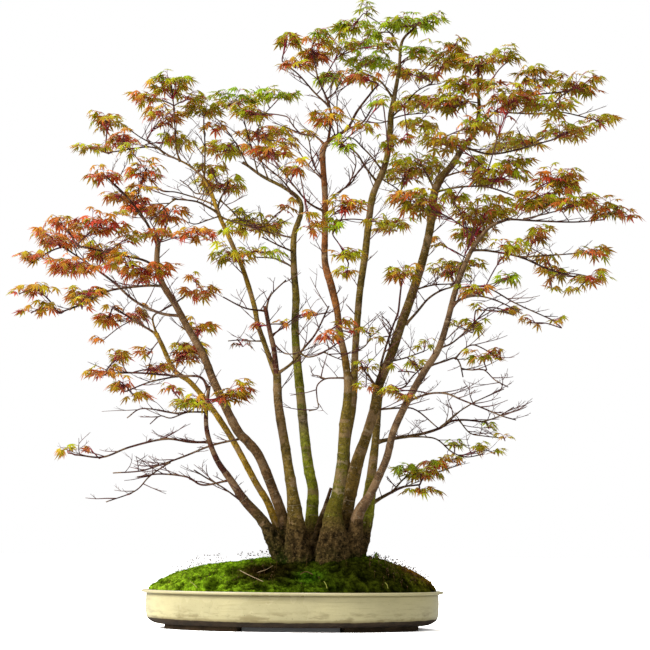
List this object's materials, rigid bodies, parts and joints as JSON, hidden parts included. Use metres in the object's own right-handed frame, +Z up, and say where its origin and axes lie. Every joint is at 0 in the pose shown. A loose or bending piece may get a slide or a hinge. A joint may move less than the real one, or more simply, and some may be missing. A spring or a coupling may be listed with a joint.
{
  "type": "bonsai tree in a pot",
  "caption": "Clump-style Japanese maple bonsai: slim stems from one root base, with sprays of lobed leaves, on a mossy mound in a shallow oval glazed pot.",
  "frame": {"origin": "on the ground, under the middle of the whole tree and pot", "axes": "+Z up, the pot's long side along X, the front that the picture shows towards -Y"},
  "size_m": [0.8984, 0.3828, 0.9429],
  "materials": {
    "glaze": "glossy glaze",
    "earth": "crumbly",
    "moss": "velvety",
    "bark": "smooth bark",
    "plastic": "matte",
    "wire": "satin",
    "leaf_red": "satin",
    "leaf_orange": "satin",
    "leaf_gold": "satin",
    "leaf_olive": "satin",
    "leaf_green": "satin"
  },
  "bodies": {
    "root": {"pot": "glaze", "screen_left": "plastic", "screen_right": "plastic", "clip_left": "wire", "clip_right": "wire", "soil": "earth", "moss": "moss", "tree": "bark", "spray_01": "leaf_red", "spray_02": "leaf_red", "spray_03": "leaf_orange", "spray_04": "leaf_orange", "spray_05": "leaf_orange", "spray_06": "leaf_red", "spray_07": "leaf_red", "spray_08": "leaf_red", "spray_09": "leaf_red", "spray_10": "leaf_red", "spray_11": "leaf_orange", "spray_12": "leaf_orange", "spray_13": "leaf_red", "spray_14": "leaf_red", "spray_15": "leaf_red", "spray_16": "leaf_olive", "spray_17": "leaf_orange", "spray_18": "leaf_orange", "spray_19": "leaf_olive", "spray_20": "leaf_orange", "spray_21": "leaf_orange", "spray_22": "leaf_gold", "spray_23": "leaf_olive", "spray_24": "leaf_olive", "spray_25": "leaf_orange", "spray_26": "leaf_red", "spray_27": "leaf_olive", "spray_28": "leaf_orange", "spray_29": "leaf_green", "spray_30": "leaf_green", "spray_31": "leaf_green", "spray_32": "leaf_olive", "spray_33": "leaf_orange", "spray_34": "leaf_gold", "spray_35": "leaf_olive", "spray_36": "leaf_red", "spray_37": "leaf_orange", "spray_38": "leaf_orange", "spray_39": "leaf_gold", "spray_40": "leaf_olive", "spray_41": "leaf_orange", "spray_42": "leaf_orange", "spray_43": "leaf_gold", "spray_44": "leaf_red", "spray_45": "leaf_red", "spray_46": "leaf_red", "spray_47": "leaf_orange", "spray_48": "leaf_red", "spray_49": "leaf_orange", "spray_50": "leaf_orange", "spray_51": "leaf_olive", "spray_52": "leaf_olive"}
  },
  "joints": []
}
